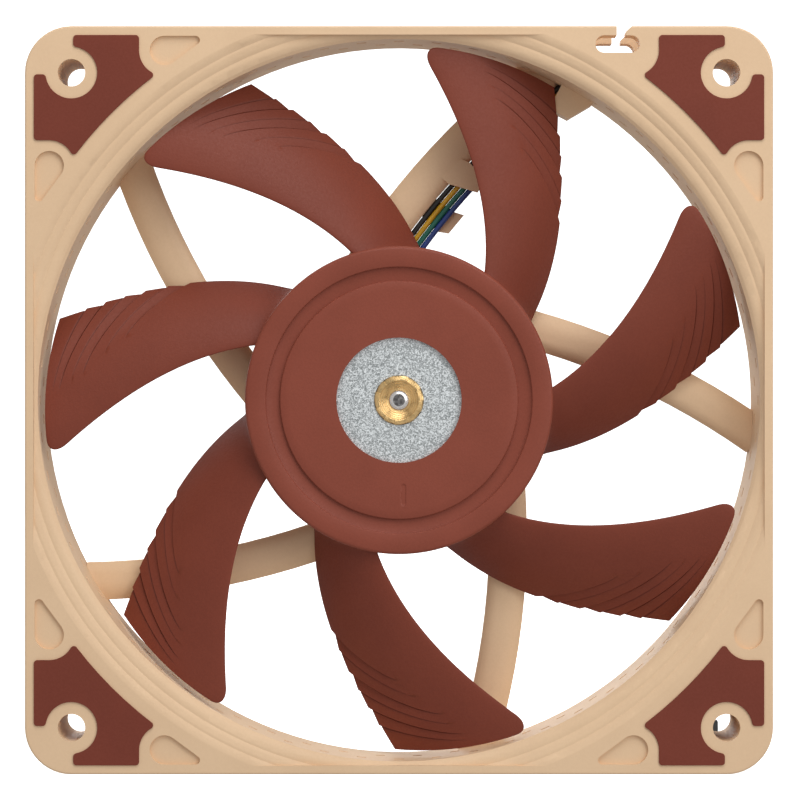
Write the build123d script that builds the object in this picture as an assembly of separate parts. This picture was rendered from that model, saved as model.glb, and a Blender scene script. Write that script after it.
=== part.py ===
"""Slim 120 mm axial case fan: one shape per physical piece, written to parts/.

Everything is drawn face on: x to the right, y up, z towards the intake side, with the
origin at the fan's centre. put() then stands each piece up in the part's frame, where
+Z is up and the intake face looks along -Y.
"""
import os
from math import atan2, cos, degrees, hypot, pi, radians, sin, sqrt, tan

from build123d import *

os.makedirs("parts", exist_ok=True)

# ---------------------------------------------------------------- driving dimensions
SIDE = 120.0  # outer width and height of the frame
THICK = 15.0  # frame thickness, flange face to flange face
FRONT = THICK / 2
REAR = -THICK / 2
CORNER_R = 7.5
HOLE_PITCH = 105.0
HOLE_R = 2.2
DUCT_R = 58.1
RING_R = 60.2
FRONT_FLANGE = 4.0
REAR_FLANGE = 3.2
POST_R = 4.6
LIP = 58.6  # half width of the square that bounds the stepped inlet
TREADS = (61.85, 60.2, 58.55)  # inner radii of the inlet's three rolled steps
TREAD_RUN = 1.3
TREAD_DROP = 0.42
PAD_DEEP = 0.6
PAD_PROUD = 0.25

HUB_R = 24.75
HUB_BORE = 22.95
HUB_FRONT = 7.0
HUB_BACK = -3.9
CUP_R = 22.9
CUP_BORE = 21.9
WINDOW_R = 10.05
GROOVE = (19.1, 19.3, 21.2, 21.4)  # radii of the front ring groove, outside and floor
GROOVE_FLOOR = 6.6
PLATE_FRONT = 6.2
PLATE_BACK = 5.2
BOSS_R = 4.0
SHAFT_R = 1.5

BLADES = 7
TIP_R = 57.1
ROOT_R = 23.4
LEAD_TURN = (56.29, 1.2266, -0.00853)  # leading edge angle: at the hub, rate, curvature
TRAIL_TURN = (31.50, 1.341, -0.0099)
LEAD_DEPTH = 5.3
TRAIL_DEPTH = -3.3
TIP_RISE = 0.5
ROOT_THICK = 1.9
TIP_THICK = 1.4
CAMBER = 0.055
STRUTS = 5
STRUT_W = 6.2
STRUT_TOP = -4.4

BASE_R = 24.5
BASE_FRONT = -6.3
BASE_BACK = -7.3
RIM_TOP = -4.5
LABEL_R = 22.0
HOUSING_R = 4.95
HOUSING_BORE = 3.5
STATOR_R = 19.3
CORE_LOW = -1.6
CORE_HIGH = 2.4
END_THICK = 0.5
BOARD_TOP = -3.4
BOARD_BACK = -4.4

WIRE_R = 0.44
WIRE_PITCH = 0.9
WIRE_Z = -5.62
LEAD_D = 2.4
BOOT_WALL = 0.3
BOOT_SLEEVE = 6.0  # how far the shrink boot follows the lead
PLUG = (11.6, 10.4, 5.6)
PIN_PITCH = 2.54

# The free lead lies behind the frame: points are (across, height, depth towards the front).
LEAD_ROUTE = [(29.8, 53.2, -6.9), (35.2, 54.9, -17.4), (46.2, 51.9, -22.6),
              (56.4, 42.2, -23.0), (60.9, 27.2, -20.4), (60.7, 8.6, -17.5),
              (61.0, -11.0, -16.4), (60.7, -28.5, -15.2), (61.0, -43.0, -13.8),
              (60.8, -54.0, -12.9), (56.0, -58.8, -12.2), (46.0, -58.8, -10.8),
              (35.6, -58.8, -9.6), (26.6, -58.8, -10.3), (22.2, -58.8, -18.2),
              (26.6, -58.8, -26.0), (35.5, -58.6, -26.2), (41.6, -57.2, -23.2)]

STAND = Plane.XZ.location


def put(shape, name):
    """Stand a face-on shape up in the part's frame and write it."""
    export_step(STAND * shape, f"parts/{name}.step")


def disc(radius, low, high):
    """A cylinder about the spin axis between two depths."""
    return Pos(0, 0, (low + high) / 2) * Cylinder(radius, high - low)


def tube(outer, inner, low, high):
    """A plain tube about the spin axis between two depths."""
    return disc(outer, low, high) - disc(inner, low - 1, high + 1)


def slab(sketch, low, high):
    """A face-on outline given a thickness between two depths."""
    return extrude(Pos(0, 0, low) * sketch, high - low)


def rounded(sketch, radius):
    """An outline with its outward corners rounded."""
    return offset(offset(sketch, -radius), radius)


def turned(points):
    """A ring turned from an outline of (radius, depth) points."""
    return revolve(Plane.XZ * make_face(Polyline(*points, close=True)), Axis.Z)


# ---------------------------------------------------------------- vibration pads
def pad_outline():
    """The top left pad, a hook round its screw hole, symmetric about the diagonal."""
    half = HOLE_PITCH / 2
    outer = 58.5
    lobe = 52.2
    inner_arc = 65.1
    tear_x, tear_y = 37.6, 56.05
    far = 38.6
    body = Pos(-(outer + far) / 2, (outer + far) / 2) * Rectangle(outer - far, outer - far)
    body -= Circle(inner_arc)
    body -= Pos(-half, half) * Circle(4.15)
    body -= Pos(-(lobe + 5), lobe + 5) * Rectangle(10, 10)
    for x, y in ((-tear_x, tear_y), (-tear_y, tear_x)):
        body -= Pos(x, y) * Circle(4.05)
    body -= Pos(-tear_x, tear_y + 5) * Rectangle(8.1, 10)
    body -= Pos(-tear_y - 5, tear_x) * Rectangle(10, 8.1)
    return rounded(body, 0.55)


CORNERS = {"top_left": 0, "bottom_left": 90, "bottom_right": 180, "top_right": 270}


def pads():
    """Eight silicone pads, four on each face, each standing a little proud."""
    outline = pad_outline()
    for name, turn in CORNERS.items():
        spot = Rot(0, 0, turn) * outline
        put(slab(spot, FRONT - PAD_DEEP, FRONT + PAD_PROUD), f"front_pad_{name}")
        put(slab(spot, REAR - PAD_PROUD, REAR + PAD_DEEP), f"rear_pad_{name}")


# ---------------------------------------------------------------- struts and their arc
STRUT_POINTS = [(-25.15, 4.2), (-34.2, 17.6), (-43.5, 37.6)]


def circle_through(a, b, c):
    """Centre and radius of the circle through three points."""
    d = 2 * (a[0] * (b[1] - c[1]) + b[0] * (c[1] - a[1]) + c[0] * (a[1] - b[1]))
    sa, sb, sc = (p[0] ** 2 + p[1] ** 2 for p in (a, b, c))
    x = (sa * (b[1] - c[1]) + sb * (c[1] - a[1]) + sc * (a[1] - b[1])) / d
    y = (sa * (c[0] - b[0]) + sb * (a[0] - c[0]) + sc * (b[0] - a[0])) / d
    return x, y, hypot(a[0] - x, a[1] - y)


def rotated(x, y, angle):
    """A point turned about the fan's centre."""
    a = radians(angle)
    return x * cos(a) - y * sin(a), x * sin(a) + y * cos(a)


ARC_X, ARC_Y, ARC_R = circle_through(*(rotated(x, y, -72) for x, y in STRUT_POINTS))
CABLE_LANE = ARC_R - STRUT_W / 2 - 0.12  # the wires lie beside the strut, on its inner side


def arc_point(radius, angle):
    """A point on a circle about the cable strut's own centre of curvature."""
    a = radians(angle)
    return ARC_X + radius * cos(a), ARC_Y + radius * sin(a)


def arc_angle(radius, reach):
    """Where, on that circle, the distance from the fan's centre becomes reach."""
    far = hypot(ARC_X, ARC_Y)
    toward = degrees(atan2(-ARC_Y, -ARC_X))
    c = (far ** 2 + radius ** 2 - reach ** 2) / (2 * far * radius)
    spread = degrees(atan2(sqrt(max(0.0, 1 - c * c)), c))
    first, second = toward - spread, toward + spread
    top = [a for a in (first, second) if arc_point(radius, a)[1] > 0]
    return max(top, key=lambda a: arc_point(radius, a)[1])


def strut():
    """The cable strut: an off-centre ridge swept along a gentle arc, hub to ring."""
    start = arc_angle(ARC_R, 20.0)
    end = arc_angle(ARC_R, 59.3)
    middle = (start + end) / 2
    path = ThreePointArc(*(arc_point(ARC_R, a) for a in (start, middle, end)))
    half = STRUT_W / 2
    crest = -0.9
    edge = STRUT_TOP - 0.9
    with BuildSketch() as section:
        with BuildLine():
            base = Polyline((half, edge), (half, REAR), (-half, REAR), (-half, edge))
            ThreePointArc(base @ 1, (-2.2, STRUT_TOP - 0.25), (crest, STRUT_TOP))
            ThreePointArc((crest, STRUT_TOP), (1.6, STRUT_TOP - 0.2), base @ 0)
        make_face()
    bar = sweep(Plane(path @ 0, z_dir=path % 0, x_dir=side_of(path)) * section.sketch, path)
    return bar & disc(59.3, REAR - 1, FRONT)


def side_of(path):
    """The leftward direction at a face-on path's start, so that outlines stand upright."""
    along = path % 0
    return Vector(-along.Y, along.X, 0)


# ---------------------------------------------------------------- the frame
def inlet_cut():
    """The duct and its three rolled steps, bounded by a square near the sides."""
    depth = FRONT
    outer = TREADS[0] + TREAD_RUN
    here = (outer, depth)
    with BuildSketch(Plane.XZ) as profile:
        with BuildLine():
            for inner in TREADS:
                start = (inner + TREAD_RUN, depth)
                if here != start:
                    Line(here, start)
                TangentArc(start, (inner, depth - TREAD_DROP), tangent=(-1, 0))
                depth -= TREAD_DROP
                here = (inner, depth)
            Polyline(here, (DUCT_R, depth - 0.4), (DUCT_R, REAR - 1), (0, REAR - 1),
                     (0, FRONT + 1), (outer, FRONT + 1), (outer, FRONT))
        make_face()
    steps = revolve(profile.sketch, Axis.Z) & Box(2 * LIP, 2 * LIP, 60)
    lead_in = Pos(0, 0, FRONT - 0.2) * Cone(DUCT_R, DUCT_R + 0.4, 0.4)
    return steps + disc(DUCT_R, REAR - 1, FRONT + 1) + lead_in


def wall_dimples():
    """Two staggered rows of small pockets round the duct wall."""
    pockets = []
    for row, depth in enumerate((2.6, -1.9)):
        for k in range(60):
            turn = 6 * k + 3 * row
            pockets.append(Rot(0, 0, turn) * Pos(DUCT_R, 0, depth) * Box(0.6, 1.5, 0.9))
    return Compound(pockets)


def teardrops():
    """Shallow teardrop recesses beside the pads; the cable slot takes one place."""
    drop = make_hull((Pos(-37.6, 56.05) * Circle(2.35)).edges()
                     + (Pos(-32.6, 57.7) * Circle(0.7)).edges())
    twin = mirror(drop, Plane.YZ)
    places = []
    for turn in (0, 90, 180, 270):
        places.append(Rot(0, 0, turn) * drop)
        if turn != 0:
            places.append(Rot(0, 0, turn) * twin)
    return [slab(spot, FRONT - 0.6, FRONT + 1) for spot in places]


def cable_slot():
    """The T-shaped lead keeper near the top right corner, through both flanges."""
    body = Pos(35.05, 57.1) * SlotOverall(7.1, 2.8)
    neck = Pos(35.65, 59.3) * Rectangle(1.5, 3.4)
    mouth = make_face(Polyline((36.3, 59.0), (38.0, 60.6), (36.3, 60.6), close=True))
    return slab(body + neck + mouth, REAR - 1, FRONT + 1)


def corner_ribs():
    """Webs that tie each screw post to the ring between the flanges."""
    rib = Pos(67.0, 0, (FRONT - FRONT_FLANGE + REAR + REAR_FLANGE) / 2)
    rib *= Box(15.0, 2.0, THICK - FRONT_FLANGE - REAR_FLANGE + 0.4)
    return [Rot(0, 0, 45 + 90 * k) * rib for k in range(4)]


def base_dish():
    """The motor base: floor, rim, bearing collar and a label recess behind."""
    dish = disc(BASE_R, BASE_BACK, BASE_FRONT) + tube(BASE_R, 23.2, BASE_FRONT, RIM_TOP)
    dish += disc(6.5, BASE_FRONT, BOARD_BACK)
    dish -= disc(HOUSING_R, BASE_FRONT, BOARD_BACK + 1)
    return dish


def wire_lane(width, low, high, start_reach, end_reach):
    """A curved lane over the bundle of wires, along the strut's inner side."""
    middle = CABLE_LANE - 2 * WIRE_PITCH
    inner, outer = middle - width / 2, middle + width / 2
    a = arc_angle(middle, start_reach)
    b = arc_angle(middle, end_reach)
    mid = (a + b) / 2
    near = ThreePointArc(*(arc_point(inner, t) for t in (a, mid, b)))
    far = ThreePointArc(*(arc_point(outer, t) for t in (b, mid, a)))
    ends = Line(near @ 1, far @ 0), Line(far @ 1, near @ 0)
    return slab(make_face([near, ends[0], far, ends[1]]), low, high)


def frame():
    """The moulded frame: two flanges, duct ring, posts, ribs, struts and base."""
    outline = RectangleRounded(SIDE, SIDE, CORNER_R)
    body = slab(outline, FRONT - FRONT_FLANGE, FRONT) + slab(outline, REAR, REAR + REAR_FLANGE)
    body += disc(RING_R, REAR, FRONT) & Box(SIDE, SIDE, THICK)
    spots = [Rot(0, 0, turn) * Pos(-HOLE_PITCH / 2, HOLE_PITCH / 2) for turn in CORNERS.values()]
    body += [spot * Cylinder(POST_R, THICK) for spot in spots]
    body += corner_ribs()
    body -= inlet_cut()
    rim = body.edges().filter_by(GeomType.CIRCLE).filter_by(
        lambda e: abs(e.radius - CORNER_R) < 0.01 and abs(abs(e.center().Z) - FRONT) < 0.01)
    body = fillet(rim, 0.35)
    body -= [spot * Cylinder(HOLE_R, THICK + 2) for spot in spots]
    body -= wall_dimples()
    pad = pad_outline()
    for turn in CORNERS.values():
        spot = Rot(0, 0, turn) * pad
        body -= slab(spot, FRONT - PAD_DEEP, FRONT + 1)
        body -= slab(spot, REAR - 1, REAR + PAD_DEEP)
    body -= teardrops()
    body -= cable_slot()
    first = strut()
    for k in range(STRUTS):
        body += Rot(0, 0, 72 * k) * first
    body -= disc(BASE_R - 0.5, BASE_FRONT, FRONT)
    body += base_dish()
    body -= disc(LABEL_R + 0.1, REAR - 1, BASE_BACK)
    body += cable_guides()
    body -= wire_lane(3.9, WIRE_Z - WIRE_R - 0.06, STRUT_TOP + 0.5, 20.0, 26.0)
    body -= wire_lane(3.9, REAR - 1, WIRE_Z + WIRE_R + 0.6, 57.4, 62.6)
    out = LEAD_ROUTE[0]
    body -= Pos(out[0] + 0.3, out[1] + 0.1) * disc(2.05, REAR - 1, WIRE_Z + WIRE_R + 0.6)
    return body


def cable_guides():
    """The lug over the wires, the shelf under them and the bridge over them at the ring."""
    over = make_face(Polyline((6.9, 36.6), (8.2, 35.5), (12.9, 34.1), (14.2, 36.0),
                              (11.6, 39.0), (10.2, 39.6), close=True))
    under = make_face(Polyline((2.9, 31.2), (6.4, 27.8), (8.2, 27.5), (10.7, 30.5),
                               (9.1, 31.0), (5.2, 33.8), close=True))
    guide = make_face(Polyline((24.6, 47.9), (26.0, 47.0), (27.7, 46.1), (31.6, 48.4),
                               (32.0, 50.0), (27.6, 53.4), close=True))
    floor = wire_lane(4.2, REAR, WIRE_Z - WIRE_R - 0.08, 53.0, 58.6)
    wall = slab(guide, REAR, -3.2)
    wall -= wire_lane(3.9, REAR - 1, WIRE_Z + WIRE_R + 0.08, 40.0, 70.0)
    wall &= disc(RING_R - 1, REAR - 1, FRONT)
    return [slab(over, WIRE_Z + WIRE_R + 0.05, STRUT_TOP), slab(under, REAR, -6.25), floor, wall]


# ---------------------------------------------------------------- the impeller
def edge_angles(radius):
    """Leading and trailing edge angles, in degrees, at a radius."""
    lead = radius / 1.003 - HUB_R
    trail = radius / 1.021 - HUB_R
    leading = LEAD_TURN[0] + LEAD_TURN[1] * lead + LEAD_TURN[2] * lead ** 2
    trailing = TRAIL_TURN[0] + TRAIL_TURN[1] * trail + TRAIL_TURN[2] * trail ** 2
    return leading, trailing


def edge_depths(radius):
    """Depths of the leading and trailing edges at a radius."""
    t = (radius - HUB_R) / (TIP_R - HUB_R)
    return LEAD_DEPTH + TIP_RISE * t, TRAIL_DEPTH + TIP_RISE * t


def blade_section(radius, flat):
    """A closed section of the blade on a cylinder, or on a flat plane when flat."""
    leading, trailing = edge_angles(radius)
    z_lead, z_trail = edge_depths(radius)
    mid = (leading + trailing) / 2
    chord = hypot(radians(leading - trailing) * radius, z_lead - z_trail)
    slope = atan2(z_lead - z_trail, radians(leading - trailing) * radius)
    thick = ROOT_THICK - (ROOT_THICK - TIP_THICK) * (radius - HUB_R) / (TIP_R - HUB_R)
    camber = CAMBER * chord

    def spot(s, side):
        bow = 4 * camber * s * (1 - s)
        swell = 0.5 * thick * (1.55 * sqrt(s) * (1 - s) ** 0.9 + 0.28 * s ** 0.5)
        across = bow + side * swell
        u = (0.5 - s) * chord * cos(slope) - across * sin(slope)
        z = (z_lead + z_trail) / 2 + (0.5 - s) * chord * sin(slope) + across * cos(slope)
        if flat:
            a = radians(mid)
            return Vector(radius * cos(a) - u * sin(a), radius * sin(a) + u * cos(a), z)
        a = radians(mid) + u / radius
        return Vector(radius * cos(a), radius * sin(a), z)

    stations = (0.0, 0.02, 0.08, 0.2, 0.36, 0.55, 0.76, 1.0)
    upper = Spline(*(spot(s, 1) for s in stations))
    lower = Spline(*(spot(s, -1) for s in stations))
    return Wire([upper, Line(upper @ 1, lower @ 1), lower])


def blade():
    """One swept blade, lofted through sections from inside the hub wall to the tip."""
    radii = (ROOT_R, 30.0, 37.5, 45.0, 52.0, 59.5)
    sections = [blade_section(r, r in (radii[0], radii[-1])) for r in radii]
    return Solid.make_loft(sections) & disc(TIP_R, -9, 9)


def hub_shell():
    """The plastic hub: skirt, front disc, ring groove and the round window."""
    shell = turned([(WINDOW_R, PLATE_FRONT), (WINDOW_R, HUB_FRONT), (GROOVE[0], HUB_FRONT),
                    (GROOVE[1], GROOVE_FLOOR), (GROOVE[2], GROOVE_FLOOR),
                    (GROOVE[3], HUB_FRONT), (HUB_R - 0.5, HUB_FRONT),
                    (HUB_R, 6.5), (HUB_R, HUB_BACK), (HUB_BORE, HUB_BACK),
                    (HUB_BORE, 5.6), (22.5, PLATE_FRONT)])
    mark = Pos(0.7, -15.2, HUB_FRONT) * SlotOverall(3.4, 0.75, rotation=90)
    return shell - extrude(mark, -0.25)


def impeller():
    """Hub shell and seven blades, one moulding."""
    body = hub_shell()
    one = blade()
    for k in range(BLADES):
        body += Rot(0, 0, 360 / BLADES * k) * one
    return body


# ---------------------------------------------------------------- rotor pieces
def rotor_yoke():
    """The steel cup that carries the magnet and shows through the hub's window."""
    return turned([(BOSS_R, PLATE_BACK), (BOSS_R, PLATE_FRONT), (22.4, PLATE_FRONT),
                   (CUP_R, 5.6), (CUP_R, -3.2), (CUP_BORE, -3.2), (CUP_BORE, PLATE_BACK)])


def hub_boss():
    """The brass boss, staked into the steel cup, dished round the shaft's end."""
    return turned([(SHAFT_R, 4.2), (SHAFT_R, 5.9), (1.9, 6.1), (3.1, 6.5), (3.3, 6.75),
                   (3.8, 6.75), (BOSS_R, 6.55), (BOSS_R, 4.2)])


def shaft():
    """The hardened shaft with a clip groove near its rear end."""
    return turned([(0, -5.6), (1.2, -5.6), (SHAFT_R, -5.3), (SHAFT_R, -5.2), (1.1, -5.2),
                   (1.1, -4.8), (SHAFT_R, -4.8), (SHAFT_R, 6.05), (1.3, 6.25), (0, 6.25)])


def retaining_clip():
    """The split washer in the shaft's groove that keeps the rotor in."""
    ring = tube(2.4, 1.1, -5.2, -4.8)
    return ring - Pos(1.9, 0, -5.0) * Box(2.0, 1.4, 1.0)


# ---------------------------------------------------------------- stator pieces
def pole_outline(arm_width, shoe_span, tip):
    """Four arms with wide curved shoes on a hollow centre."""
    outline = Circle(7.5)
    for k in range(4):
        arm = Rot(0, 0, 90 * k) * Pos(tip / 2, 0) * Rectangle(tip - 1, arm_width)
        outline += arm
        wedge = make_face(Polyline((0, 0), (30, -30 * tan(radians(shoe_span / 2))),
                                   (30, 30 * tan(radians(shoe_span / 2))), close=True))
        outline += Rot(0, 0, 90 * k) * ((Circle(tip) - Circle(tip - 1.6)) & wedge)
    return outline - Circle(HOUSING_R)


def insulator(low, high, legs):
    """A plastic end piece for the stator; the rear one stands on the board."""
    body = slab(pole_outline(5.0, 66, 18.4), low, high)
    if legs:
        for k in range(4):
            body += Rot(0, 0, 45 + 90 * k) * Pos(6.6, 0, (BOARD_TOP + low) / 2) * Cylinder(
                0.8, low - BOARD_TOP)
    return body


def coil():
    """One winding: a rounded block round an arm of the stator."""
    outer = Rot(0, 90, 0) * RectangleRounded(6.6, 9.0, 1.6)
    inner = Rot(0, 90, 0) * Rectangle(5.0, 5.0)
    middle = (CORE_LOW + CORE_HIGH) / 2
    return extrude(Pos(8.6, 0, middle) * outer, 7.6) - extrude(Pos(8.0, 0, middle) * inner, 9)


def motor():
    """Stator, windings, bearing and electronics."""
    put(slab(pole_outline(5.0, 76, STATOR_R), CORE_LOW, CORE_HIGH), "stator_core")
    put(insulator(CORE_HIGH, CORE_HIGH + END_THICK, False), "upper_insulator")
    put(insulator(CORE_LOW - END_THICK, CORE_LOW, True), "lower_insulator")
    for k in range(4):
        put(Rot(0, 0, 90 * k) * coil(), f"coil_{k + 1}")
    board = tube(18.5, HOUSING_R + 0.15, BOARD_BACK, BOARD_TOP)
    put(board - Pos(-17.6, -4, BOARD_TOP) * Box(3, 3, 4), "circuit_board")
    chip = Pos(-12.0, -6.0, BOARD_BACK - 0.65) * Box(5.0, 4.0, 1.3)
    legs = [Pos(-12.0 + x, -6.0 + y, BOARD_BACK - 0.2) * Box(0.4, 1.0, 0.4)
            for x in (-1.9, -0.63, 0.63, 1.9) for y in (-2.5, 2.5)]
    put(chip + legs, "driver_chip")
    put(Rot(0, 0, 45) * Pos(17.3, 0, BOARD_TOP + 0.4) * Box(1.4, 3.2, 0.8), "hall_sensor")
    caps = [Pos(x, y, BOARD_BACK - 0.4) * Box(2.0, 1.2, 0.8)
            for x, y in ((10.0, -8.0), (13.0, -5.0), (-6.0, -12.0))]
    put(Compound(caps), "chip_capacitors")
    housing = tube(HOUSING_R, HOUSING_BORE, -4.5, 3.6) + tube(HOUSING_R, 2.9, BASE_FRONT, -4.5)
    put(housing, "bearing_housing")
    put(tube(HOUSING_BORE, SHAFT_R + 0.02, -4.5, 3.1), "sleeve_bearing")
    put(tube(HOUSING_BORE, 1.9, 3.1, 3.6), "oil_seal_ring")
    put(disc(2.9, BASE_FRONT, -5.65), "thrust_pad")
    put(disc(LABEL_R, BASE_BACK - 0.14, BASE_BACK), "rear_label")


def rotor():
    """The turning pieces."""
    put(impeller(), "impeller")
    put(rotor_yoke(), "rotor_yoke")
    put(hub_boss(), "hub_boss")
    put(shaft(), "shaft")
    put(retaining_clip(), "retaining_clip")
    put(tube(CUP_BORE, 19.9, -2.8, 4.0), "ring_magnet")


# ---------------------------------------------------------------- wires and lead
WIRE_COLOURS = ("black", "yellow", "green", "blue")


def wire_line(index):
    """One wire's centre line: straight under the board, then beside the strut."""
    radius = CABLE_LANE - WIRE_PITCH * (index + 0.5)
    a = arc_angle(radius, 25.5)
    b = arc_angle(radius, 58.6)
    mid = (a + b) / 2
    bend = ThreePointArc(*((*arc_point(radius, t), WIRE_Z) for t in (a, mid, b)))
    back = bend @ 0 - (bend % 0) * 8.5
    return Wire([Line(back, bend @ 0), bend])


def wires():
    """Four insulated wires and their solder joints on the board."""
    joints = []
    solids = []
    for index, colour in enumerate(WIRE_COLOURS):
        line = wire_line(index)
        solid = sweep(Plane(line @ 0, z_dir=line % 0) * Circle(WIRE_R), line)
        put(solid, f"wire_{colour}")
        end = line @ 0 + (line % 0) * (0.7 + 1.5 * (index % 2))
        drop = Pos(end.X, end.Y, (WIRE_Z + BOARD_BACK) / 2) * Cylinder(0.42, BOARD_BACK - WIRE_Z)
        joints.append(drop - solid)
        solids.append(solid)
    put(Compound(joints), "solder_joints")
    put(lead_boot() - solids, "lead_boot")


def lead_boot():
    """The shrink boot that gathers the four wires into the sleeved lead."""
    ends = [wire_line(index) for index in (1, 2)]
    middle = ((ends[0] @ 1) + (ends[1] @ 1)) / 2
    mouth = Plane(middle, z_dir=ends[0] % 1, x_dir=(ends[1] @ 1) - (ends[0] @ 1))
    start, after = Vector(*LEAD_ROUTE[0]), Vector(*LEAD_ROUTE[1])
    outlet = Plane(start, z_dir=after - start)
    flat = mouth * RectangleRounded(3.75, 1.1, 0.5)
    around = outlet * Circle(LEAD_D / 2 + BOOT_WALL)
    within = outlet * Circle(LEAD_D / 2 + 0.02)
    return loft([flat, around]) + (extrude(around, BOOT_SLEEVE) - extrude(within, BOOT_SLEEVE))


def lead_radii(points):
    """The largest tangent arcs that the runs on each side of a point allow."""
    radii = []
    for a, b, c in zip(points, points[1:], points[2:]):
        before, after = Vector(*b) - Vector(*a), Vector(*c) - Vector(*b)
        turn = before.get_angle(after)
        shorter = min(before.length, after.length)
        radii.append(0.45 * shorter / tan(radians(turn / 2)))
    return radii


def lead():
    """The sleeved lead as one plain tube, and the connector on its end."""
    radii = lead_radii(LEAD_ROUTE)
    path = FilletPolyline(*LEAD_ROUTE, radius=radii)
    solid = sweep(Plane(path @ 0, z_dir=path % 0) * Circle(LEAD_D / 2), path)
    print("lead radii", [round(r, 1) for r in radii])
    print("lead length", round(path.length, 1), "volume ratio",
          round(solid.volume / (path.length * pi * LEAD_D ** 2 / 4), 4))
    put(solid, "lead")
    connector(path @ 1, path % 1, solid)


def connector(tip, along, cord):
    """A four-way plug housing with a latch ramp, ribs and open terminal ways."""
    flat = Vector(along.X, 0, along.Z).normalized()
    place = Plane(tip, x_dir=flat, z_dir=(0, 1, 0))
    length, _, height = PLUG
    rows = [PIN_PITCH * (k - 1.5) for k in range(4)]
    shell = Pos(length / 2, 0, 0) * Box(*PLUG)
    shell = chamfer(shell.edges().filter_by(Axis.X), 0.4)
    shell -= [Pos(length - 2.5, y, 0) * Box(6.0, 1.5, 1.5) for y in rows]
    shell += [Pos(length - 4.5, y, height / 2 - 0.05) * Box(8.0, 0.9, 0.7) for y in (-3.2, 3.2)]
    put(place.location * shell - cord, "lead_connector")
    clips = [Pos(length - 3.2, y, 0) * Box(4.6, 1.3, 1.3) for y in rows]
    holes = [Pos(length - 2.6, y, 0) * Box(5.0, 0.8, 0.8) for y in rows]
    put(place.location * Compound([c - h for c, h in zip(clips, holes)]), "connector_terminals")


put(frame(), "frame")
pads()
rotor()
motor()
wires()
lead()
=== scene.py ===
import bpy
import numpy as np
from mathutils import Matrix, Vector


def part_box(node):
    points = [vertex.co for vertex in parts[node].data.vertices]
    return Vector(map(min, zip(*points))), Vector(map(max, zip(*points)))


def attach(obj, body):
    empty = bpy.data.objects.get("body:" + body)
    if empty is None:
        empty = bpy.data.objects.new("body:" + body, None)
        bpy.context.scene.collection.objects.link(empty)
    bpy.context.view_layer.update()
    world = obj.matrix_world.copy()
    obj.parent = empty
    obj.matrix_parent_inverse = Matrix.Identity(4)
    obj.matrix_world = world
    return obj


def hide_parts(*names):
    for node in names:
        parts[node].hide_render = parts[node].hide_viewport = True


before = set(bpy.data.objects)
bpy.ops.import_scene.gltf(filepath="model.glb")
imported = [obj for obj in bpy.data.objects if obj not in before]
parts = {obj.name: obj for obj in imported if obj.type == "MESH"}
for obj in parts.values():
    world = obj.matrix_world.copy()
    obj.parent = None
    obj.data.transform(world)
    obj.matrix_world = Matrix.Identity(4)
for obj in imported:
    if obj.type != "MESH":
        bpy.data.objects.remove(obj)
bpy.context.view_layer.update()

# Where it is seen from. The fan stands upright and faces the viewer, who stands straight
# in front of it, far enough away that the rear rim just shows inside the front one.
flange_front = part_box("frame")[0].y
flange_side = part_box("frame")[1].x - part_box("frame")[0].x
view_distance = 0.485
view_share = 0.936
eye_right, eye_up = 0.00016, 0.00003
camera = bpy.data.objects.new("camera", bpy.data.cameras.new("camera"))
camera.data.sensor_width = 36.0
camera.data.lens = 36.0 * view_distance * view_share / flange_side
camera.data.clip_start = 0.01
camera.data.clip_end = 20.0
camera.location = (eye_right, flange_front - view_distance, eye_up)
camera.rotation_euler = (np.pi / 2, 0.0, 0.0)
bpy.context.scene.collection.objects.link(camera)
bpy.context.scene.camera = camera


# The lead: the four wires in a braided polyester sleeve, gathered by a shrink boot where
# they leave the outlet flange. It ends in a black four-way plug with a latch ramp.
class Socket:
    """A shader value: arithmetic on it adds the Math nodes that work it out."""

    def __init__(self, finish, out):
        self.finish, self.out = finish, out

    def math(self, operation, *others):
        return self.finish.add("ShaderNodeMath", {"operation": operation}, self, *others)

    def __add__(self, other):
        return self.math("ADD", other)

    def __mul__(self, other):
        return self.math("MULTIPLY", other)

    def __sub__(self, other):
        return self.math("SUBTRACT", other)

    def __rsub__(self, other):
        return self.finish.add("ShaderNodeMath", {"operation": "SUBTRACT"}, other, self)

    __radd__ = __add__
    __rmul__ = __mul__


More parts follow.
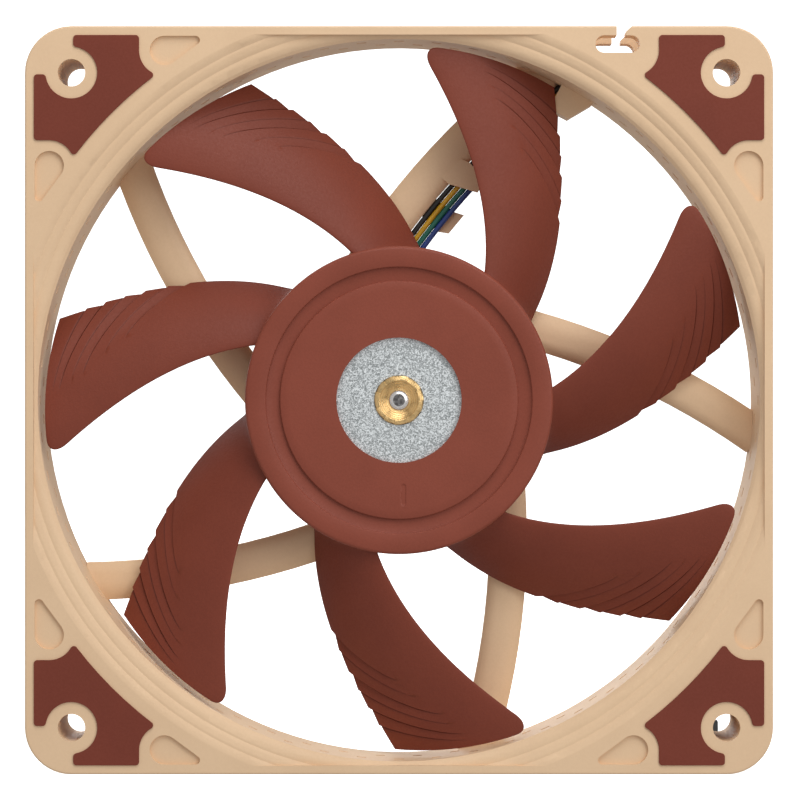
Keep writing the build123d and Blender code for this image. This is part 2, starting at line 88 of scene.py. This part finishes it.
class Finish:
    """A material under construction: one Principled shader and what feeds it."""

    def __init__(self, name, **constants):
        self.material = bpy.data.materials.new(name)
        self.material.use_nodes = True
        self.tree = self.material.node_tree
        self.shader = self.tree.nodes["Principled BSDF"]
        for key, value in constants.items():
            self.shader.inputs[key.replace("_", " ").title().replace("Ior", "IOR")].default_value = value

    def add(self, kind, settings, *inputs, out=0, **named):
        """Any node: its settings first, then values or links for its sockets."""
        node = self.tree.nodes.new(kind)
        for key, value in settings.items():
            setattr(node, key, value)
        given = [(node.inputs[i], v) for i, v in enumerate(inputs)]
        given += [(node.inputs[k.replace("_", " ")], v) for k, v in named.items()]
        for socket, value in given:
            if isinstance(value, Socket):
                self.tree.links.new(value.out, socket)
            elif value is not None:
                socket.default_value = value
        return Socket(self, node.outputs[out])

    def place(self, kind="Object"):
        """The coordinates that a pattern follows."""
        names = ["Generated", "Normal", "UV", "Object"]
        return self.add("ShaderNodeTexCoord", {}, out=names.index(kind))

    def noise(self, per_metre, detail=2.0, rough=0.5, stretch=None, seat=None):
        """Cloudy noise with so many features to the metre, stretched if asked."""
        seat = seat or self.place()
        if stretch:
            seat = self.add("ShaderNodeMapping", {}, seat, (0, 0, 0), (0, 0, 0), stretch)
        return self.add("ShaderNodeTexNoise", {"noise_dimensions": "3D"}, Vector=seat,
                        Scale=per_metre, Detail=detail, Roughness=rough)

    def ramp(self, value, low, high):
        """Zero below low, one above high, smooth between."""
        return self.add("ShaderNodeMapRange", {"interpolation_type": "SMOOTHSTEP"},
                        value, low, high, 0.0, 1.0)

    def blend(self, factor, first, second):
        """A colour between two, each a constant or a link."""
        pair = [c if isinstance(c, Socket) else (*c, 1.0) for c in (first, second)]
        return self.add("ShaderNodeMix", {"data_type": "RGBA"}, factor, *[None] * 5, *pair, out=2)

    def bump(self, height, depth, strength=1.0):
        """Raises the surface by a height map, depth metres from its lowest to highest."""
        bump = self.add("ShaderNodeBump", {}, Strength=strength, Distance=depth, Height=height)
        self.feed("Normal", bump)

    def feed(self, name, value):
        """Links a value to one of the shader's own sockets."""
        self.tree.links.new(value.out, self.shader.inputs[name])


def wear(finish, *names):
    """Puts a finished material on CAD pieces."""
    for name in names:
        parts[name].data.materials.clear()
        parts[name].data.materials.append(finish.material)


def moulded(name, colour, tint, rough, grain_depth, groove_shade_strength=0.0):
    """Matt moulded plastic: cloudy colour, spark-eroded grain and uneven sheen. Where the mesh marks a
    narrow groove, the base colour is pulled towards a dark copy of the tint, as painted shade in the
    groove."""
    finish = Finish(name, roughness=rough, specular_ior_level=0.28)
    cloud = finish.noise(90.0, 3.0)
    speck = finish.noise(2600.0, 2.0, 0.6)
    shade = finish.ramp(cloud, 0.35, 0.65) * 0.6 + finish.ramp(speck, 0.35, 0.65) * 0.4
    paint = finish.blend(shade, colour, tint)
    if groove_shade_strength:
        # Painted shade: a per-point attribute darkens the base colour in narrow grooves.
        depth = finish.add("ShaderNodeAttribute", {"attribute_name": "painted_groove_shade"}, out=2)
        paint = finish.blend(depth * groove_shade_strength, paint, tuple(0.25 * c for c in tint))
    finish.feed("Base Color", paint)
    finish.feed("Roughness", finish.ramp(speck, 0.3, 0.7) * 0.10 + (rough - 0.05))
    finish.bump(speck + finish.noise(700.0, 1.0) * 0.5, grain_depth)
    return finish


lead_diameter = 0.0024
lead_length = 0.2
weave_pitch, strands_round = 0.0011, 5
lead_route = [
    (0.0298, 0.0069, 0.0532), (0.0352, 0.0174, 0.0549), (0.0462, 0.0226, 0.0519),
    (0.0564, 0.0230, 0.0422), (0.0609, 0.0204, 0.0272), (0.0607, 0.0175, 0.0086),
    (0.0610, 0.0164, -0.0110), (0.0607, 0.0152, -0.0285), (0.0610, 0.0138, -0.0430),
    (0.0608, 0.0129, -0.0540), (0.0560, 0.0122, -0.0588), (0.0460, 0.0108, -0.0588),
    (0.0356, 0.0096, -0.0588), (0.0266, 0.0103, -0.0588), (0.0222, 0.0182, -0.0588),
    (0.0266, 0.0260, -0.0588), (0.0355, 0.0262, -0.0586), (0.0416, 0.0232, -0.0572),
]
curve = bpy.data.curves.new("lead_sleeve", "CURVE")
curve.dimensions = "3D"
spline = curve.splines.new("NURBS")
spline.points.add(len(lead_route) - 1)
spline.points.foreach_set("co", np.insert(np.array(lead_route), 3, 1.0, axis=1).ravel())
spline.order_u = 3
spline.use_endpoint_u = True
spline.resolution_u = 16
curve.bevel_depth = lead_diameter / 2
curve.bevel_resolution = 5
curve.use_fill_caps = True
lead_sleeve = bpy.data.objects.new("lead_sleeve", curve)
bpy.context.scene.collection.objects.link(lead_sleeve)

braid = Finish("braided_sleeve", roughness=0.55)
over = braid.add("ShaderNodeSeparateXYZ", {}, braid.place("UV")) * (
    2 * np.pi * lead_length / weave_pitch)
around = braid.add("ShaderNodeSeparateXYZ", {}, braid.place("UV"), out=1) * (
    2 * np.pi * strands_round)
weave = (over - around).math("SINE").math("MAXIMUM", (over + around).math("SINE"))
strand = braid.ramp(weave, -0.2, 0.9)
braid.feed("Base Color", braid.blend(strand, (0.010, 0.008, 0.008), (0.045, 0.036, 0.032)))
braid.feed("Roughness", strand * -0.2 + 0.7)
braid.bump(weave, 0.00012)
curve.materials.append(braid.material)
boot_rubber = moulded("shrink_boot", (0.016, 0.015, 0.015), (0.024, 0.022, 0.022), 0.5, 0.00001)
wear(boot_rubber, "lead_boot")
nylon = moulded("black_nylon", (0.022, 0.022, 0.023), (0.03, 0.03, 0.031), 0.48, 0.00001)
wear(nylon, "lead_connector")
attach(lead_sleeve, "frame")
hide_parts("lead")

# The frame: one moulding in warm beige thermoplastic, with flanges, duct ring, struts
# and motor base. The tool's spark-eroded surface leaves a fine, soft, matt grain on it.
beige = moulded("beige_moulding", (0.83, 0.585, 0.37), (0.79, 0.55, 0.345), 0.5, 0.000014)
wear(beige, "frame")

# The corner pads: eight soft silicone pads, cut to hook round the screw holes and set in
# shallow pockets of both flanges, a quarter of a millimetre proud, to stop vibration.
silicone = moulded("brown_silicone", (0.207, 0.043, 0.024), (0.184, 0.038, 0.021), 0.66, 0.000016)
wear(silicone, *[name for name in parts if "_pad_" in name])

# Bearing, stator and board: hidden in the hub. Brass housing, oil-filled bronze sleeve,
# laminated steel core between two nylon end pieces, four enamelled windings, green board.
def metal(name, colour, rough, grain, depth, stretch=None):
    """Bare metal whose brightness and gloss vary with a fine grain."""
    finish = Finish(name, metallic=1.0, roughness=rough)
    speck = finish.noise(grain, 3.0, 0.6, stretch)
    mask = finish.ramp(speck, 0.35, 0.65)
    dark = tuple(0.78 * c for c in colour)
    finish.feed("Base Color", finish.blend(mask, dark, colour))
    finish.feed("Roughness", mask * 0.12 + (rough - 0.06))
    finish.bump(speck, depth)
    return finish


wear(metal("turned_brass", (0.80, 0.60, 0.30), 0.28, 1500.0, 0.000006), "bearing_housing")
wear(metal("sintered_bronze", (0.50, 0.33, 0.18), 0.5, 4000.0, 0.00001), "sleeve_bearing")
wear(metal("core_steel", (0.36, 0.37, 0.38), 0.45, 300.0, 0.00001, (1, 12, 1)), "stator_core")
wear(metal("winding_copper", (0.72, 0.30, 0.13), 0.32, 500.0, 0.00004, (1, 6, 1)),
     "coil_1", "coil_2", "coil_3", "coil_4")
wear(metal("tinned_contact", (0.76, 0.76, 0.73), 0.3, 3000.0, 0.000004),
     "solder_joints", "connector_terminals")
wear(nylon, "upper_insulator", "lower_insulator", "driver_chip", "hall_sensor")
wear(moulded("natural_nylon", (0.66, 0.62, 0.52), (0.6, 0.56, 0.47), 0.4, 0.000008),
     "thrust_pad", "retaining_clip")
wear(moulded("seal_rubber", (0.02, 0.02, 0.02), (0.03, 0.03, 0.03), 0.7, 0.00001), "oil_seal_ring")
wear(moulded("board_green", (0.015, 0.10, 0.045), (0.02, 0.13, 0.06), 0.3, 0.00001),
     "circuit_board")
wear(moulded("capacitor_tan", (0.38, 0.27, 0.17), (0.3, 0.21, 0.13), 0.45, 0.00001),
     "chip_capacitors")

# The rear label: a blank satin paper disc stuck in the base's recess. It has only a
# printed grey band round its edge, and no words.
band_inner, band_outer, band_blur = 0.0197, 0.0209, 0.0001
label = moulded("label_paper", (0.62, 0.60, 0.56), (0.58, 0.56, 0.52), 0.5, 0.000006)
across = label.add("ShaderNodeVectorMath", {"operation": "MULTIPLY"}, label.place(), (1, 0, 1))
radius = label.add("ShaderNodeVectorMath", {"operation": "LENGTH"}, across, out=1)
inside = label.ramp(radius, band_inner - band_blur, band_inner + band_blur)
band = inside - label.ramp(radius, band_outer - band_blur, band_outer + band_blur)
label.feed("Base Color", label.blend(band, (0.60, 0.58, 0.54), (0.10, 0.035, 0.025)))
wear(label, "rear_label")

# The four motor wires: stranded copper in coloured plastic, soldered under the board and
# led along the strut's inner side, under a lug, to the notch in the outlet flange.
def insulation(name, colour):
    """Extruded wire insulation: glossy, with faint lengthwise waviness."""
    finish = Finish(name, roughness=0.32, coat_weight=0.15)
    wave = finish.noise(420.0, 2.0)
    dull = tuple(0.82 * c for c in colour)
    finish.feed("Base Color", finish.blend(finish.ramp(wave, 0.3, 0.7), dull, colour))
    finish.feed("Roughness", finish.ramp(wave, 0.3, 0.7) * 0.14 + 0.25)
    finish.bump(wave, 0.00002)
    return finish


wire_colours = {
    "wire_black": (0.010, 0.009, 0.009),
    "wire_yellow": (0.66, 0.36, 0.012),
    "wire_green": (0.012, 0.150, 0.100),
    "wire_blue": (0.022, 0.055, 0.25),
}
for name, colour in wire_colours.items():
    wear(insulation(name, colour), name)

# The rotor's steel cup: drawn from galvanised sheet, it shows through the hub's window
# as a grey, finely spangled disc. The magnet inside is dark bonded ferrite.
spangle = Finish("galvanised_sheet", metallic=0.85, roughness=0.5)
cells = spangle.add("ShaderNodeTexVoronoi", {"feature": "F1"}, out=1,
                    Vector=spangle.place(), Scale=6000.0)
tone = spangle.add("ShaderNodeSeparateColor", {}, cells)
fine = spangle.noise(7500.0, 2.0, 0.7)
mottle = spangle.ramp(tone * 0.6 + fine * 0.4, 0.15, 0.85)
spangle.feed("Base Color", spangle.blend(mottle, (0.36, 0.385, 0.39), (0.95, 0.99, 1.0)))
spangle.feed("Roughness", mottle * 0.25 + 0.35)
spangle.bump(fine, 0.00002)
wear(spangle, "rotor_yoke")
wear(moulded("bonded_ferrite", (0.035, 0.035, 0.038), (0.05, 0.05, 0.053), 0.6, 0.00001),
     "ring_magnet")


# The boss: brass, turned on a lathe, dished round the shaft's end and staked into the
# steel cup with a toothed punch, which leaves a ring of small steps on its rim.
def stand(points):
    """Face-on millimetres (x right, y up, z to the viewer) as metres in the frame."""
    points = np.asarray(points, float) / 1000.0
    return np.stack([points[..., 0], -points[..., 2], points[..., 1]], axis=-1)


def surface(name, grid, body, finish, cap=False, sharp=None, painted_groove_shade=None):
    """A closed skin over a grid of points: columns run round and join up, and rows
    join up too, or end in flat ladders that close the first and last row."""
    rows, columns = grid.shape[:2]
    index = np.arange(rows * columns).reshape(rows, columns)
    if not cap:
        index = np.vstack([index, index[:1]])
    a, b = index[:-1], index[1:]
    faces = np.stack([a, np.roll(a, -1, 1), np.roll(b, -1, 1), b], axis=-1).reshape(-1, 4)
    points = grid.reshape(-1, 3)
    corner = points[faces]
    swept = np.cross(corner[:, 1] - corner[:, 0], corner[:, 2] - corner[:, 0])
    inward = (corner[:, 0] * swept).sum() < 0
    if cap:
        step = np.arange(columns // 2 - 1)
        ladder = index[[0, -1]][:, np.stack([step, columns - 1 - step, columns - 2 - step,
                                             step + 1], axis=-1)]
        faces = np.vstack([faces, ladder[0], ladder[1][:, ::-1]])
    if inward:
        faces = faces[:, ::-1]
    mesh = bpy.data.meshes.new(name)
    mesh.from_pydata(points.tolist(), [], faces.tolist())
    # A per-point share of painted shade, stored for the material to darken the colour in grooves.
    if painted_groove_shade is not None:
        marks = mesh.attributes.new("painted_groove_shade", "FLOAT", "POINT")
        marks.data.foreach_set("value", np.ascontiguousarray(painted_groove_shade, np.float32).ravel())
    mesh.validate()
    mesh.shade_smooth()
    if sharp:
        mesh.set_sharp_from_angle(angle=np.radians(sharp))
    piece = bpy.data.objects.new(name, mesh)
    bpy.context.scene.collection.objects.link(piece)
    mesh.materials.append(finish.material)
    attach(piece, body)
    return piece


def softened(profile, radius=0.06, steps=3):
    """A closed outline with each corner cut back and rounded by short chords."""
    profile = np.array(profile, float)
    before, after = np.roll(profile, 1, 0) - profile, np.roll(profile, -1, 0) - profile
    gap_a, gap_b = (np.linalg.norm(side, axis=1)[:, None] for side in (before, after))
    start = profile + before / gap_a * np.minimum(radius, 0.4 * gap_a)
    end = profile + after / gap_b * np.minimum(radius, 0.4 * gap_b)
    t = np.linspace(0, 1, steps)[:, None]
    curve = ((1 - t) ** 2 * start[:, None] + 2 * t * (1 - t) * profile[:, None]
             + t ** 2 * end[:, None])
    return curve.reshape(-1, 2)


boss_profile = softened([(1.46, 4.2), (1.46, 5.3), (1.62, 5.72), (2.02, 5.78), (2.06, 5.92),
                         (2.32, 5.98), (2.36, 6.14), (2.64, 6.2), (2.68, 6.36), (2.98, 6.42),
                         (3.04, 6.68), (3.35, 6.76), (3.85, 6.72), (4.0, 6.5), (4.0, 4.2)], 0.05)
staked_teeth, uneven, tooth_deep, tooth_high = 11, 0.12, 0.12, 0.10
rim_from, rim_wide, rim_above, lathe_pitch = 3.15, 0.3, 6.2, 0.00016
turns = np.linspace(0, 2 * np.pi, 660, endpoint=False)
saw = (staked_teeth * turns / (2 * np.pi) + uneven * np.sin(3 * turns)) % 1.0
rim = np.clip((boss_profile[:, 0] - rim_from) / rim_wide, 0, 1) * (boss_profile[:, 1] > rim_above)
reach = boss_profile[:, 0][:, None] - tooth_deep * rim[:, None] * saw[None, :]
rise = boss_profile[:, 1][:, None] - tooth_high * rim[:, None] * saw[None, :]
boss_grid = np.stack([reach * np.cos(turns), reach * np.sin(turns), rise], axis=-1)
lathe = metal("lathe_brass", (0.95, 0.64, 0.29), 0.30, 900.0, 0.000004)
spin_line = lathe.add("ShaderNodeVectorMath", {"operation": "MULTIPLY"}, lathe.place(), (1, 0, 1))
from_axis = lathe.add("ShaderNodeVectorMath", {"operation": "LENGTH"}, spin_line, out=1)
rings = lathe.add("ShaderNodeMath", {"operation": "SINE"}, from_axis * (2 * np.pi / lathe_pitch))
lathe.bump(rings, 0.000010)
boss = surface("boss", stand(boss_grid), "rotor", lathe, sharp=50)
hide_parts("hub_boss")

# The shaft: hardened and ground steel, with a narrow bevelled end and a clip groove.
shaft_profile = np.array([(0.5, -5.6), (1.2, -5.6), (1.5, -5.3), (1.5, -5.2), (1.1, -5.2),
                          (1.1, -4.8), (1.5, -4.8), (1.5, 5.5), (1.34, 5.52), (1.34, 5.9),
                          (1.30, 6.02), (0.98, 6.2), (0.93, 6.2), (0.9, 6.17), (0.4, 6.17)])
round_about = np.linspace(0, 2 * np.pi, 96, endpoint=False)
shaft_grid = np.stack([shaft_profile[:, 0][:, None] * np.cos(round_about),
                       shaft_profile[:, 0][:, None] * np.sin(round_about),
                       shaft_profile[:, 1][:, None] + 0 * round_about], axis=-1)
ground = metal("ground_steel", (0.27, 0.25, 0.25), 0.22, 2500.0, 0.000002)
off_axis = ground.add("ShaderNodeVectorMath", {"operation": "MULTIPLY"}, ground.place(), (1, 0, 1))
off_axis = ground.add("ShaderNodeVectorMath", {"operation": "LENGTH"}, off_axis, out=1)
# Painted reflection: the end face is painted near-black, as the dark surroundings in front that it would
# mirror, and the bevel and sides are painted near-white as a highlight.
painted_rim_highlight = ground.ramp(off_axis, 0.00094, 0.00100)
wander = ground.ramp(ground.noise(2500.0), 0.35, 0.65) * 0.3
ground.feed("Base Color", ground.blend(painted_rim_highlight + wander, (0.17, 0.16, 0.16), (0.95, 0.93, 0.92)))
pin = surface("shaft_pin", stand(shaft_grid), "rotor", ground, cap=True, sharp=30)
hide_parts("shaft")

# The impeller: hub shell and seven forward-swept blades in one brown moulding. Fine
# channels are cut in the front of each blade along its trailing edge, and notch it.
hub_r, hub_bore, hub_front, hub_back = 24.75, 22.95, 7.0, -3.9
window_r, plate_front = 10.05, 6.2
brown = moulded("brown_moulding", (0.280, 0.065, 0.038), (0.245, 0.056, 0.032), 0.5, 0.000024)
# The blades wear a darker copy of the hub's brown, as painted shade, though hub and blades are one
# moulding.
blade_shaded_brown = moulded("blade_moulding_painted_darker", (0.222, 0.047, 0.025), (0.198, 0.041, 0.022), 0.52, 0.000030,
                      groove_shade_strength=0.95)

disc_rows = [(r, hub_front) for r in np.arange(12.8, 17.6, 0.15)]
hub_profile = np.vstack([
    [(window_r, plate_front), (window_r, hub_front), (window_r + 0.05, hub_front)], disc_rows,
    [(18.95, hub_front), (19.05, hub_front - 0.05), (19.1, hub_front - 0.15),
     (19.12, 6.5), (19.2, 6.42), (21.25, 6.42), (21.35, 6.5), (21.37, 6.85),
     (21.42, 6.95), (21.52, hub_front), (24.2, hub_front), (24.45, 6.93), (24.65, 6.75),
     (hub_r, 6.5), (hub_r, 3.0), (hub_r, -0.5), (hub_r, hub_back + 0.1),
     (hub_r - 0.1, hub_back), (hub_bore + 0.1, hub_back), (hub_bore, hub_back + 0.1),
     (hub_bore, 5.6), (22.5, plate_front), (16.0, plate_front)]])
spread = np.concatenate([np.arange(-98, -76, 0.35), np.arange(-76, 262, 1.5)])
hub_turns = np.radians(spread)
hub_x = hub_profile[:, 0][:, None] * np.cos(hub_turns)
hub_y = hub_profile[:, 0][:, None] * np.sin(hub_turns)
mark_x, mark_y, mark_half, mark_r, mark_edge, mark_deep = 0.7, -15.2, 1.32, 0.38, 0.12, 0.13
beyond = np.hypot(hub_x - mark_x, np.maximum(np.abs(hub_y - mark_y) - mark_half, 0.0))
dent = np.clip((mark_r + mark_edge / 2 - beyond) / mark_edge, 0, 1)
dent = dent * (hub_profile[:, 1] == hub_front)[:, None]
hub_z = hub_profile[:, 1][:, None] - mark_deep * dent
hub = surface("hub_shell", stand(np.stack([hub_x, hub_y, hub_z], axis=-1)), "rotor",
              brown, sharp=40)

blade_count, tip_r, root_r = 7, 57.1, 23.4
tip_corner = 3.3
channels = np.array([39.2, 42.1, 45.2, 47.9, 50.6, 53.3])
channel_depth = np.array([0.60, 0.26, 0.60, 0.28, 0.56, 0.30])
channel_wide, root_fillet, camber = 0.26, 0.55, 0.055
root_thick, tip_thinner = 1.9, 0.5


def edges(r):
    """Leading and trailing edge angles, in degrees, and depths, at a radius."""
    lead, trail = r / 1.003 - hub_r, r / 1.021 - hub_r
    share = (r - hub_r) / (tip_r - hub_r)
    leading = 56.29 + 1.2266 * lead - 0.00853 * lead ** 2
    trailing = 31.50 + 1.341 * trail - 0.0099 * trail ** 2
    return leading, trailing, 5.3 + 0.5 * share, -3.3 + 0.5 * share


def blade_grid():
    """Rows run from inside the hub to the tip, and each goes round the section from the
    trailing edge over the front to the leading edge and back behind. Near the trailing
    edge a row climbs outward along the channels, so that each step is one row wide."""
    fine = [np.concatenate([[a + 0.03, a + 0.12, a + 0.26, a + 0.42],
                            np.linspace(a + 0.7, b - 0.03, 5)])
            for a, b in zip(channels, [*channels[1:], 54.2])]
    sweep = tip_corner * np.sin(np.linspace(0, np.pi / 2, 16))
    rows = np.concatenate([[root_r, 24.2, 24.7, 24.8, 24.95, 25.2, 25.6, 26.2],
                           np.linspace(27.2, channels[0] - 0.04, 16), *fine,
                           tip_r - tip_corner + sweep[2:]])
    rows = np.unique(np.round(rows, 4))
    half = 0.5 * (1 - np.cos(np.pi * np.linspace(0, 1, 56)))
    round_trip = np.concatenate([1 - half, half])
    side = np.concatenate([np.ones(56), -np.ones(56)])
    v, c = rows[:, None], round_trip[None, :]
    climb = np.interp(v, [27, 36, 39.2, 45.2, 50.6, 53.3, tip_r - 1, tip_r],
                      [0, 4.8, 6.1, 5.9, 4.2, 2.6, 0.5, 0])
    length = np.interp(v, [36, 39.2, 45.2, 50.6, 57], [0.40, 0.44, 0.58, 0.60, 0.6])
    toward = (1 - c) / length
    r = v + climb * (1 - np.clip(1 - toward, 0, 1) ** 1.25)
    r = np.minimum(r, tip_r)
    leading, trailing, z_lead, z_trail = edges(r)
    span = np.radians(leading - trailing) * r
    rise = z_lead - z_trail
    chord, slope = np.hypot(span, rise), np.arctan2(rise, span)
    number = np.clip(np.searchsorted(channels, v[:, 0], side="right") - 1, 0, None)
    after = v[:, 0] - channels[number]
    gap = np.append(np.diff(channels), tip_r - channels[-1])[number]
    groove = 0.55 * channel_depth[number] * np.clip(1.5 - after / channel_wide, 0, 1)
    cut = np.where(after > 0, channel_depth[number] * np.clip(1 - after / gap, 0, 1) + groove, 0.0)
    fade = np.clip(1 - toward, 0, 1) ** 0.7
    cut = cut[:, None] * fade
    # Painted shade: how much the colour darkens on the front of the blade just outside each step, where the
    # groove lies.
    shade_in_groove = np.where(after > 0, np.clip(1.5 - after / channel_wide, 0, 1) * channel_depth[number] / 0.6, 0.0)
    shade_in_groove = shade_in_groove[:, None] * np.sqrt(fade) * (side > 0)
    from_corner = np.clip(r - (tip_r - tip_corner), 0, tip_corner)
    trimmed = tip_corner - np.sqrt(np.maximum(tip_corner ** 2 - from_corner ** 2, 0))
    notch = 0.6 * np.where(after > 0, channel_depth[number] * np.clip(1 - after / gap, 0, 1), 0)
    s = trimmed / chord + c * (1 - trimmed / chord - notch[:, None] / chord)
    thick = root_thick - tip_thinner * (r - hub_r) / (tip_r - hub_r)
    bow = 4 * camber * chord * s * (1 - s)
    swell = 0.5 * thick * (1.55 * np.sqrt(c) * (1 - c) ** 0.9 + 0.28 * np.sqrt(c))
    swell = swell + root_fillet * np.exp(-np.maximum(r - hub_r, 0) / 0.45) * np.sqrt(c)
    across = bow + side * swell - cut * np.where(side > 0, 1.0, 0.5)
    u = (0.5 - s) * chord * np.cos(slope) - across * np.sin(slope)
    z = (z_lead + z_trail) / 2 + (0.5 - s) * chord * np.sin(slope) + across * np.cos(slope)
    angle = np.radians((leading + trailing) / 2) + u / r
    return r * np.cos(angle), r * np.sin(angle), z, shade_in_groove


blade_x, blade_y, blade_z, blade_groove_shade = blade_grid()
blades = []
for k in range(blade_count):
    turn = 2 * np.pi * k / blade_count
    grid = np.stack([blade_x * np.cos(turn) - blade_y * np.sin(turn),
                     blade_x * np.sin(turn) + blade_y * np.cos(turn), blade_z], axis=-1)
    blades.append(surface(f"blade_{k + 1}", stand(grid), "rotor", blade_shaded_brown,
                          cap=True, sharp=35, painted_groove_shade=blade_groove_shade))
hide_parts("impeller")

# The studio: a pale floor that runs up into a bright white backdrop, soft lights at the
# side, above and behind, and an even white surround. Floor and backdrop cast no light.
def sweep_surface(name, low, high, strength):
    """A flat white rectangle, floor or wall, between two corners."""
    x0, y0, z0 = low
    x1, y1, z1 = high
    mesh = bpy.data.meshes.new(name)
    mesh.from_pydata([(x0, y0, z0), (x1, y0, z0), (x1, y1, z1), (x0, y1, z1)], [], [(0, 1, 2, 3)])
    piece = bpy.data.objects.new(name, mesh)
    bpy.context.scene.collection.objects.link(piece)
    paint = Finish(name, roughness=0.9)
    paint.shader.inputs["Base Color"].default_value = (0.9, 0.9, 0.9, 1.0)
    paint.shader.inputs["Emission Color"].default_value = (1.0, 1.0, 1.0, 1.0)
    paint.shader.inputs["Emission Strength"].default_value = strength
    mesh.materials.append(paint.material)
    piece.visible_diffuse = False
    piece.visible_glossy = False


floor_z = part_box("frame")[0].z
sweep_surface("floor", (-3, -3, floor_z), (3, 1.2, floor_z), 1.0)
sweep_surface("backdrop", (-3, 1.2, floor_z), (3, 1.2, 3.0), 1.05)

world = bpy.data.worlds.new("surround")
world.use_nodes = True
world.node_tree.nodes["Background"].inputs[0].default_value = (1.0, 1.0, 1.0, 1.0)
world.node_tree.nodes["Background"].inputs[1].default_value = 0.46
bpy.context.scene.world = world


def panel_light(name, place, aim, size, power):
    """A square soft light that faces a point."""
    lamp = bpy.data.objects.new(name, bpy.data.lights.new(name, "AREA"))
    lamp.data.size = size
    lamp.data.energy = power
    lamp.location = place
    toward = Vector(aim) - Vector(place)
    lamp.rotation_euler = toward.to_track_quat("-Z", "Y").to_euler()
    bpy.context.scene.collection.objects.link(lamp)


panel_light("side_key", (0.65, -0.80, 0.35), (0, 0, 0), 0.7, 3.35)
panel_light("overhead", (0.05, -0.26, 0.42), (0, 0, 0.01), 0.3, 1.05)
panel_light("rear_fill", (-0.35, 0.75, 0.45), (0, 0, 0), 0.9, 4.0)
bpy.context.scene.view_settings.view_transform = "Standard"
bpy.context.scene.view_settings.look = "None"
